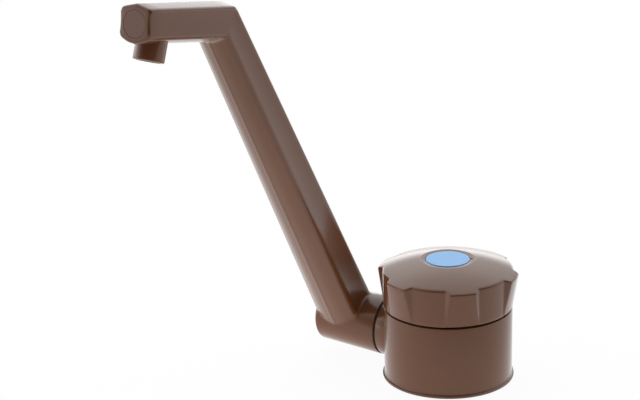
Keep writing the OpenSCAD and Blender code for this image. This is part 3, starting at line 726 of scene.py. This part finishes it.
def make_plug():
    """Round plug in the end of the outlet bar, with a fine bevel."""
    bm = bmesh.new()
    r, top = PLUG_R - PLUG_GAP, BAR_LEN - PLUG_INSET
    profile = disc_top(r, top, PLUG_BEVEL, r - PLUG_FLAT, 4)
    profile += [(r, top - PLUG_T), (0, top - PLUG_T)]
    place = AT_BAR @ Matrix.Translation((0, -PLUG_DROP, 0))
    lathe(bm, profile, SMALL_STEPS, place, closed=False)
    return new_object("plug_disc", bm)


def make_nozzle():
    """Outlet nozzle: a tube with a rounded rim that goes up into the bar."""
    bm = bmesh.new()
    rim = arc(NOZZLE_R - NOZZLE_ROUND, NOZZLE_ROUND, NOZZLE_ROUND, -90, 0, 6)
    lathe(bm, [*NOZZLE_BORE, *rim, *NOZZLE_SPIGOT], SMALL_STEPS, AT_NOZZLE)
    return new_object("nozzle_tube", bm)


def make_housing():
    """Base housing: wall with its foot lip and rim, deck, and the boss for the spout."""
    bm = bmesh.new()
    lip_z = FOOT_Z + LIP_H
    profile = [(SHELL_R, FOOT_Z), (FOOT_R - LIP_EDGE, FOOT_Z), (FOOT_R, FOOT_Z + LIP_EDGE),
               (FOOT_R, lip_z - LIP_EDGE), (FOOT_R - LIP_EDGE, lip_z)]
    profile += [(BASE_R + out, lip_z + up) for out, up in LIP_SEAM] + eased(BASE_R, RIM_Z)
    profile += [(RIM_BORE_R, RIM_Z), (RIM_BORE_R, DECK_TOP), (DECK_HOLE_R, DECK_TOP),
                (DECK_HOLE_R, DECK_Z), (SHELL_R, DECK_Z)]
    lathe(bm, profile, HOUSING_STEPS)
    wall = new_object("housing_shell", bm)
    # Turned a little, so that no edge of the boss lies in the wall's own edges
    place = SWIVEL @ Matrix.Rotation(math.radians(BOSS_TURN), 4, "Z")
    bm = bmesh.new()
    boss = [(BOSS_BORE_R, BOSS_ROOT_X), (BOSS_R, BOSS_ROOT_X), *eased(BOSS_R, BOSS_X),
            (BOSS_BORE_R, BOSS_X)]
    lathe(bm, boss, DISC_STEPS, place)
    ear = new_object("boss_form", bm)
    bm = bmesh.new()
    near, far = BOSS_HOLE_X
    lathe(bm, [(0, near), (BOSS_HOLE_R, near), (BOSS_HOLE_R, far), (0, far)], SMALL_STEPS,
          place, closed=False)
    hole = new_object("bore_form", bm)
    return combined(wall, [("DIFFERENCE", hole), ("UNION", ear)])


def make_swivel_cap():
    """Disc that closes the barrel's free end, with a fine bevel."""
    bm = bmesh.new()
    r, top = COUNTERBORE_R - END_CAP_GAP, BARREL_X[1] - END_CAP_INSET
    profile = disc_top(r, top, END_CAP_BEVEL, r - END_CAP_FLAT, 4)
    profile += [(r, top - END_CAP_T), (0, top - END_CAP_T)]
    lathe(bm, profile, DISC_STEPS, SWIVEL, closed=False)
    return new_object("swivel_disc", bm)


def make_shank():
    """Threaded shank with its plate: a turned blank, screw holes and a helical thread."""
    bm = bmesh.new()
    rows = round((THREAD_TOP - THREAD_END) / THREAD_PITCH * THREAD_ROWS)
    profile = [(SHANK_BORE_R, PLATE_TOP), (PLATE_R, PLATE_TOP), (PLATE_R, GASKET_T),
               (SHANK_R, GASKET_T)]
    profile += [(SHANK_R, THREAD_TOP + (THREAD_END - THREAD_TOP) * k / rows)
                for k in range(rows + 1)]
    profile += [(SHANK_R, SHANK_END + SHANK_CHAMFER), (SHANK_R - SHANK_CHAMFER, SHANK_END),
                (SHANK_BORE_R + BORE_CHAMFER, SHANK_END),
                (SHANK_BORE_R, SHANK_END + BORE_CHAMFER)]
    lathe(bm, profile, SHANK_STEPS)
    shank = grown(new_object("shank_thread", bm), THREAD_TREE, {
        "Crest radius": SHANK_R * MM, "Depth": THREAD_DEPTH * MM, "Pitch": THREAD_PITCH * MM,
        "Top": THREAD_TOP * MM, "Bottom": THREAD_END * MM, "Crest share": THREAD_CREST,
        "Flank slope": 1 / THREAD_FLANK, "Join distance": JOIN,
        "Finish": MATERIALS["shell"]}, THREAD_SMOOTH_ANGLE)
    bm = bmesh.new()
    below, above = GASKET_T - PAST, PLATE_TOP + PAST
    for k in range(SCREW_COUNT):
        at = polar(POST_AT, 45 + 360 * k / SCREW_COUNT)
        lathe(bm, [(0, above), (SCREW_HOLE_R, above), (SCREW_HOLE_R, SCREW_CONE_Z),
                   (SCREW_HEAD_R, GASKET_T), (SCREW_HEAD_R, below), (0, below)], HOLE_STEPS,
              Matrix.Translation((at.x, at.y, 0)), closed=False)
    return combined(shank, [("DIFFERENCE", new_object("screw_holes", bm))],
                    THREAD_SMOOTH_ANGLE)


def nut_profile(angle):
    """Closed outline of the hexagonal nut at an angle from the middle of a flat."""
    r = NUT_FLATS / 2 / math.cos(math.radians(angle))
    face_r = min(r, NUT_FLATS / 2 + NUT_FACE_OUT)
    drop = (r - face_r) * math.tan(math.radians(NUT_CORNER_ANGLE)) + NUT_EDGE
    bottom = NUT_TOP - NUT_H
    mouth_r = SHANK_R + NUT_BORE_CHAMFER
    return [(SHANK_R, NUT_TOP - NUT_BORE_CHAMFER), (mouth_r, NUT_TOP),
            (face_r - NUT_EDGE, NUT_TOP), (r, NUT_TOP - drop), (r, bottom + drop),
            (face_r - NUT_EDGE, bottom), (mouth_r, bottom), (SHANK_R, bottom + NUT_BORE_CHAMFER)]


def make_nut():
    """Hexagonal back nut with chamfered corners, from one sixth of it."""
    bm = bmesh.new()
    side = 360 / NUT_SIDES
    sector(bm, [side * k / NUT_STEPS - side / 2 for k in range(NUT_STEPS + 1)], nut_profile)
    return grown(new_object("nut_shell", bm), RING_TREE, {
        "Copies": NUT_SIDES, "First angle": math.radians(NUT_TURN), "Join distance": JOIN,
        "Finish": MATERIALS["shell"]})


# Materials. A pattern is a scale and a detail. DRIFT changes the colour of plastic between
# its two ends, PATCHES change its gloss, and MARKS are a metal's tool marks.
DRIFT = (38.0, 3.0)
DRIFT_ENDS = (0.3, 0.7)
PATCHES = (150.0, 4.0)
GRAIN_DETAIL = 2.0
SKIN_IOR = 1.25
SKIN_ROUGH = 0.2
MARKS = (6.0, 5.0)
MARK_STREAK = (600.0, 600.0, 40.0)
MARK_ROUGH = (0.22, 0.34)
MARK_SHADE = 0.86
MARK_RELIEF = 0.08
RELIEF_DEPTH = 0.0001


def principled(name):
    """A new material with its nodes, links and shader."""
    mat = bpy.data.materials.new(name)
    mat.use_nodes = True
    nodes = mat.node_tree.nodes
    return mat, nodes, mat.node_tree.links, nodes["Principled BSDF"]


def add(nodes, kind, **values):
    """A new node, with values set on its properties or its sockets."""
    node = nodes.new(kind)
    for key, value in values.items():
        if hasattr(node, key):
            setattr(node, key, value)
        else:
            node.inputs[key].default_value = value
    return node


def noise(nodes, links, place, scale, detail):
    """Cloudy pattern over the places of a piece."""
    node = add(nodes, "ShaderNodeTexNoise", Scale=scale, Detail=detail)
    links.new(place, node.inputs["Vector"])
    return node.outputs["Fac"]


def tint(nodes, links, shader, pattern, dark, light, ends):
    """Base colour that goes from dark to light with a pattern."""
    ramp = nodes.new("ShaderNodeValToRGB")
    for mark, place, colour in zip(ramp.color_ramp.elements, ends, (dark, light)):
        mark.position = place
        mark.color = (*colour, 1)
    links.new(pattern, ramp.inputs["Fac"])
    links.new(ramp.outputs["Color"], shader.inputs["Base Color"])


def dull(nodes, links, shader, pattern, rough):
    """Roughness that goes from one value to the other with a pattern."""
    node = nodes.new("ShaderNodeMapRange")
    node.inputs["To Min"].default_value, node.inputs["To Max"].default_value = rough
    links.new(pattern, node.inputs["Value"])
    links.new(node.outputs["Result"], shader.inputs["Roughness"])


def emboss(nodes, links, shader, pattern, strength):
    """Fine relief of a pattern."""
    bump = add(nodes, "ShaderNodeBump", Strength=strength, Distance=RELIEF_DEPTH)
    links.new(pattern, bump.inputs["Height"])
    links.new(bump.outputs["Normal"], shader.inputs["Normal"])


def moulded(name, dark, light, rough, grain=0.05, grain_size=9000.0, ior=1.5, skin=0.0):
    """Moulded plastic: slow colour drift, uneven gloss and a fine mould grain.

    skin is the weight of the clear, satin skin that the mould leaves."""
    mat, nodes, links, shader = principled(name)
    shader.inputs["IOR"].default_value = ior
    shader.inputs["Coat Weight"].default_value = skin
    shader.inputs["Coat IOR"].default_value = SKIN_IOR
    shader.inputs["Coat Roughness"].default_value = SKIN_ROUGH
    place = nodes.new("ShaderNodeTexCoord").outputs["Object"]
    drift = noise(nodes, links, place, *DRIFT)
    tint(nodes, links, shader, drift, dark, light, DRIFT_ENDS)
    dull(nodes, links, shader, noise(nodes, links, place, *PATCHES), rough)
    emboss(nodes, links, shader, noise(nodes, links, place, grain_size, GRAIN_DETAIL), grain)
    return mat


def metal(name, colour):
    """Turned or plated metal with fine tool marks."""
    mat, nodes, links, shader = principled(name)
    shader.inputs["Metallic"].default_value = 1.0
    place = nodes.new("ShaderNodeMapping")
    place.inputs["Scale"].default_value = MARK_STREAK
    links.new(nodes.new("ShaderNodeTexCoord").outputs["Object"], place.inputs["Vector"])
    marks = noise(nodes, links, place.outputs["Vector"], *MARKS)
    tint(nodes, links, shader, marks, [c * MARK_SHADE for c in colour], colour, (0.0, 1.0))
    dull(nodes, links, shader, marks, MARK_ROUGH)
    emboss(nodes, links, shader, marks, MARK_RELIEF)
    return mat


MATERIALS = {
    "shell": moulded("brown_plastic", (0.114, 0.0405, 0.0150), (0.122, 0.0435, 0.0170),
                     (0.15, 0.2), grain=0.03, ior=1.38, skin=1.0),
    "blue": moulded("blue_plastic", (0.2, 0.44, 0.78), (0.21, 0.455, 0.8), (0.36, 0.44), ior=1.45),
    "rubber": moulded("black_rubber", (0.008, 0.007, 0.007), (0.014, 0.013, 0.012), (0.6, 0.75),
                      0.15, 5000.0, ior=1.35),
    "steel": metal("stainless_steel", (0.62, 0.63, 0.65)),
    "brass": metal("turned_brass", (0.72, 0.52, 0.25)),
    "acetal": moulded("white_acetal", (0.74, 0.73, 0.69), (0.78, 0.77, 0.73), (0.4, 0.5)),
    "black": moulded("black_plastic", (0.015, 0.015, 0.017), (0.025, 0.025, 0.028), (0.35, 0.5)),
    "red": moulded("red_plastic", (0.36, 0.045, 0.03), (0.4, 0.055, 0.035), (0.35, 0.45)),
}


def wear(obj, slot):
    """Gives a piece the finish of its slot."""
    obj.data.materials.clear()
    obj.data.materials.append(MATERIALS[slot])


RING_TREE = sector_ring_tree()
THREAD_TREE = thread_tree()
SLOTS = {s["node"]: s["material_slot"] for s in frame["record"]["subparts"]}
for node_name, node in frame["nodes"].items():
    finish = MATERIALS[SLOTS[node_name]]
    if not node.data.materials:
        node.data.materials.append(finish)
    for k in range(len(node.data.materials)):
        node.data.materials[k] = finish

for maker, body, node_name in (
        (make_knob, "knob", "knob"), (make_cap, "knob", "knob_cap"),
        (make_housing, "base", "housing"), (make_shank, "base", "mounting_shank"),
        (make_nut, "base", "back_nut"), (make_spout, "spout", "spout"),
        (make_swivel_cap, "spout", "swivel_cap"), (make_plug, "spout", "end_plug"),
        (make_nozzle, "spout", "outlet_nozzle")):
    piece = maker()
    wear(piece, SLOTS[node_name])
    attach(piece, body)
    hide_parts(node_name)

# Stage: a white floor that glows like a light table and keeps a soft shadow. FLOOR_SHARE is
# the glow's share of its surface for the light on the tap, which FLOOR_LIGHT makes strongest
# round FLOOR_MIDDLE. Where the floor is seen, an even glow has the share FLOOR_SHARE_SEEN.
FLOOR_HALF = 4000.0
FLOOR_COLOUR = (0.9, 0.9, 0.9, 1)
FLOOR_ROUGH = 0.6
FLOOR_SHARE = 0.65
FLOOR_SHARE_SEEN = 0.95
FLOOR_LIGHT = (3.0, 0.75)
FLOOR_REACH = (0.04, 0.45)
FLOOR_MIDDLE = (-0.15, 0.0, 0.0)
FLOOR_DROP = 0.05


def combine(nodes, links, operation, a, b):
    """A math node on two sockets or numbers."""
    node = add(nodes, "ShaderNodeMath", operation=operation)
    for socket, value in zip(node.inputs, (a, b)):
        if isinstance(value, bpy.types.NodeSocket):
            links.new(value, socket)
        else:
            socket.default_value = value
    return node.outputs[0]


def between(nodes, links, factor, low, high, reach=(0.0, 1.0)):
    """Goes from one value to another while a factor goes over its reach."""
    node = nodes.new("ShaderNodeMapRange")
    node.inputs["From Min"].default_value, node.inputs["From Max"].default_value = reach
    if isinstance(low, bpy.types.NodeSocket):
        links.new(low, node.inputs["To Min"])
    else:
        node.inputs["To Min"].default_value = low
    node.inputs["To Max"].default_value = high
    links.new(factor, node.inputs["Value"])
    return node.outputs["Result"]


def make_floor():
    """White floor just under the worktop plane, lit by its own glow."""
    bm = bmesh.new()
    bmesh.ops.create_grid(bm, x_segments=1, y_segments=1, size=FLOOR_HALF)
    bmesh.ops.translate(bm, vec=(0, 0, -FLOOR_DROP), verts=bm.verts)
    floor = new_object("floor", bm)
    mat, nodes, links, shader = principled("white_floor")
    shader.inputs["Base Color"].default_value = FLOOR_COLOUR
    shader.inputs["Roughness"].default_value = FLOOR_ROUGH
    glow = nodes.new("ShaderNodeEmission")
    rays = nodes.new("ShaderNodeLightPath")
    seen = rays.outputs["Is Camera Ray"]
    for kind in ("Is Glossy Ray", "Is Transmission Ray"):
        seen = combine(nodes, links, "MAXIMUM", seen, rays.outputs[kind])
    share = between(nodes, links, seen, FLOOR_SHARE, FLOOR_SHARE_SEEN)
    where = nodes.new("ShaderNodeTexCoord")
    away = add(nodes, "ShaderNodeVectorMath", operation="DISTANCE")
    away.inputs[1].default_value = FLOOR_MIDDLE
    links.new(where.outputs["Object"], away.inputs[0])
    light = between(nodes, links, away.outputs["Value"], *FLOOR_LIGHT, FLOOR_REACH)
    links.new(between(nodes, links, seen, light, 1.0), glow.inputs["Strength"])
    mix = nodes.new("ShaderNodeMixShader")
    links.new(share, mix.inputs["Fac"])
    links.new(shader.outputs["BSDF"], mix.inputs[1])
    links.new(glow.outputs["Emission"], mix.inputs[2])
    links.new(mix.outputs["Shader"], nodes["Material Output"].inputs["Surface"])
    floor.data.materials.append(mat)


# Light tent: brightest low behind the tap, with a dark opening that the camera looks through.
# TENT_TURN gives the level from opposite the opening (0) to its middle (1), TENT_HEIGHT from
# the horizon to overhead, and TENT_LEFT makes the camera's left brighter and its right darker.
TENT_LEVEL = 2.6
TENT_DARK_AZIMUTH = 40.0
TENT_TURN = ((0.0, 1.0), (0.5, 1.0), (0.6, 0.6), (0.68, 0.25), (0.8, 0.06))
TENT_HEIGHT = ((0.0, 0.85), (0.12, 0.72), (0.26, 0.34), (0.6, 0.66), (0.85, 0.66), (1.0, 0.45))
TENT_LEFT = 0.2


def facing(nodes, links, axis):
    """How far a direction of the surroundings points along an axis, from -1 to 1."""
    where = nodes.new("ShaderNodeTexCoord")
    node = add(nodes, "ShaderNodeVectorMath", operation="DOT_PRODUCT")
    node.inputs[1].default_value = axis
    links.new(where.outputs["Generated"], node.inputs[0])
    return node.outputs["Value"]


def grey_ramp(nodes, links, value, stops):
    """Brightness levels at places from 0 to 1."""
    ramp = nodes.new("ShaderNodeValToRGB")
    marks = ramp.color_ramp.elements
    for k, (place, level) in enumerate(stops):
        mark = marks[k] if k < 2 else marks.new(place)
        mark.position = place
        mark.color = (level, level, level, 1)
    links.new(value, ramp.inputs["Fac"])
    return ramp.outputs["Color"]


def make_tent():
    """World light: a bright cloth all round, with a dark opening towards the camera."""
    world = bpy.data.worlds.new("light_tent")
    bpy.context.scene.world = world
    world.use_nodes = True
    nodes, links = world.node_tree.nodes, world.node_tree.links
    light = nodes["Background"]
    a, b = math.radians(TENT_DARK_AZIMUTH), math.radians(VIEW_AZIMUTH)
    dark_side = facing(nodes, links, (math.sin(a), -math.cos(a), 0))
    dark_side = combine(nodes, links, "MULTIPLY", dark_side, 0.5)
    dark_side = combine(nodes, links, "ADD", dark_side, 0.5)
    left = facing(nodes, links, (-math.cos(b), -math.sin(b), 0))
    left = combine(nodes, links, "MULTIPLY", left, TENT_LEFT)
    left = combine(nodes, links, "ADD", left, 1.0)
    turn = grey_ramp(nodes, links, dark_side, TENT_TURN)
    height = grey_ramp(nodes, links, facing(nodes, links, (0, 0, 1)), TENT_HEIGHT)
    level = combine(nodes, links, "MULTIPLY", height, left)
    level = combine(nodes, links, "MULTIPLY", level, TENT_LEVEL)
    links.new(turn, light.inputs["Color"])
    links.new(level, light.inputs["Strength"])


def make_camera():
    """Camera of the photograph."""
    a, e, roll = (math.radians(v) for v in (VIEW_AZIMUTH, VIEW_ELEVATION, VIEW_ROLL))
    back = Vector((math.sin(a) * math.cos(e), -math.cos(a) * math.cos(e), math.sin(e)))
    right = Vector((math.cos(a), math.sin(a), 0))
    up = back.cross(right)
    cam_x = right * math.cos(roll) + up * math.sin(roll)
    cam_y = up * math.cos(roll) - right * math.sin(roll)
    lens = bpy.data.cameras.new("camera")
    lens.lens = VIEW_LENS
    lens.sensor_width = SENSOR_WIDTH
    camera = bpy.data.objects.new("camera", lens)
    bpy.context.collection.objects.link(camera)
    facing_tap = Matrix((cam_x, cam_y, back)).transposed().to_4x4()
    place = Matrix.Translation((VIEW_TARGET + back * VIEW_DISTANCE) * MM)
    camera.matrix_world = place @ facing_tap
    bpy.context.scene.camera = camera


make_floor()
make_tent()
make_camera()
bpy.context.scene.view_settings.view_transform = "Standard"
